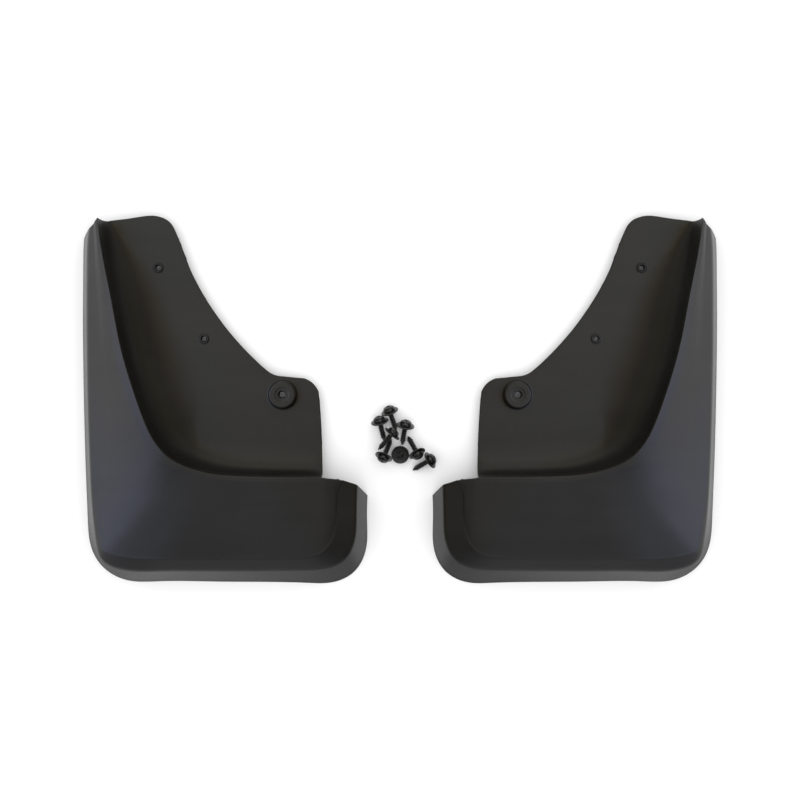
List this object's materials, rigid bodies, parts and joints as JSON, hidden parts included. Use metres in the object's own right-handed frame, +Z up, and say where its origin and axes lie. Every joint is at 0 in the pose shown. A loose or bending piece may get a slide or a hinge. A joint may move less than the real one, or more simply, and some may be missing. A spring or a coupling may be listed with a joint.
{
  "type": "mud flap set",
  "caption": "Handed pair of moulded black plastic car mud flaps with a curved raised rim, a recessed mounting sheet and a boss, and their washer-head self-tapping screws.",
  "frame": {"origin": "middle of the whole set, on the table plane it lies on", "axes": "+Z up from the table towards the shown face of the flaps, +X from the left flap to the right flap, +Y from the bottom edges of the flaps to their tops"},
  "size_m": [0.5324, 0.3076, 0.0478],
  "materials": {
    "flap_plastic": "matte black moulded polypropylene with a very fine grain",
    "screw_black": "glossy black coated steel",
    "washer_black": "satin black coated steel"
  },
  "bodies": {
    "left_flap": {"left_flap": "flap_plastic"},
    "right_flap": {"right_flap": "flap_plastic"},
    "screw_1": {"screw_1": "screw_black"},
    "washer_1": {"washer_1": "washer_black"},
    "screw_2": {"screw_2": "screw_black"},
    "washer_2": {"washer_2": "washer_black"},
    "screw_3": {"screw_3": "screw_black"},
    "washer_3": {"washer_3": "washer_black"},
    "screw_4": {"screw_4": "screw_black"},
    "washer_4": {"washer_4": "washer_black"},
    "screw_5": {"screw_5": "screw_black"},
    "washer_5": {"washer_5": "washer_black"},
    "screw_6": {"screw_6": "screw_black"},
    "washer_6": {"washer_6": "washer_black"},
    "screw_7": {"screw_7": "screw_black"},
    "washer_7": {"washer_7": "washer_black"},
    "screw_8": {"screw_8": "screw_black"},
    "washer_8": {"washer_8": "washer_black"}
  },
  "joints": [
    {"name": "right_flap_lift", "type": "slide", "parent": "left_flap", "child": "right_flap", "axis": [0, 0, 1], "range_m": [0, 0.1]},
    {"name": "screw_1_lift", "type": "slide", "parent": "left_flap", "child": "screw_1", "axis": [-0.1873, 0.4636, 0.866], "range_m": [0, 0.06]},
    {"name": "washer_1_spin", "type": "hinge", "parent": "screw_1", "child": "washer_1", "pos_m": [-0.0089, -0.0088, 0.0077], "axis": [-0.3152, 0.8754, 0.3665], "continuous": true},
    {"name": "screw_2_lift", "type": "slide", "parent": "left_flap", "child": "screw_2", "axis": [-0.342, 0, 0.9397], "range_m": [0, 0.06]},
    {"name": "washer_2_spin", "type": "hinge", "parent": "screw_2", "child": "washer_2", "pos_m": [-0.0171, -0.0173, 0.0077], "axis": [-0.2219, 0.9036, 0.3665], "continuous": true},
    {"name": "screw_3_lift", "type": "slide", "parent": "left_flap", "child": "screw_3", "axis": [-0.0377, 0.3067, 0.9511], "range_m": [0, 0.06]},
    {"name": "washer_3_spin", "type": "hinge", "parent": "screw_3", "child": "washer_3", "pos_m": [0.0047, -0.0206, 0.0077], "axis": [0.152, 0.9086, 0.3891], "continuous": true},
    {"name": "screw_4_lift", "type": "slide", "parent": "left_flap", "child": "screw_4", "axis": [-0.0377, 0.3067, 0.9511], "range_m": [0, 0.06]},
    {"name": "washer_4_spin", "type": "hinge", "parent": "screw_4", "child": "washer_4", "pos_m": [-0.006, -0.0275, 0.0116], "axis": [0.6396, 0.7489, 0.1736], "continuous": true},
    {"name": "screw_5_lift", "type": "slide", "parent": "left_flap", "child": "screw_5", "axis": [-0.0868, -0.4924, 0.866], "range_m": [0, 0.06]},
    {"name": "washer_5_spin", "type": "hinge", "parent": "screw_5", "child": "washer_5", "pos_m": [-0.0139, -0.0481, 0.0089], "axis": [-0.3413, -0.8239, 0.4524], "continuous": true},
    {"name": "screw_6_lift", "type": "slide", "parent": "left_flap", "child": "screw_6", "axis": [-0.0377, 0.3067, 0.9511], "range_m": [0, 0.06]},
    {"name": "washer_6_spin", "type": "hinge", "parent": "screw_6", "child": "washer_6", "pos_m": [0.0002, -0.0458, 0.00381], "axis": [0, 0, -1], "continuous": true},
    {"name": "screw_7_lift", "type": "slide", "parent": "left_flap", "child": "screw_7", "axis": [-0.0377, 0.3067, 0.9511], "range_m": [0, 0.06]},
    {"name": "washer_7_spin", "type": "hinge", "parent": "screw_7", "child": "washer_7", "pos_m": [0.0146, -0.0453, 0.0089], "axis": [0.4255, -0.7837, 0.4524], "continuous": true},
    {"name": "screw_8_lift", "type": "slide", "parent": "left_flap", "child": "screw_8", "axis": [0.1736, 0, 0.9848], "range_m": [0, 0.06]},
    {"name": "washer_8_spin", "type": "hinge", "parent": "screw_8", "child": "washer_8", "pos_m": [0.0257, -0.0498, 0.0077], "axis": [0.7942, 0.4848, 0.3665], "continuous": true}
  ]
}
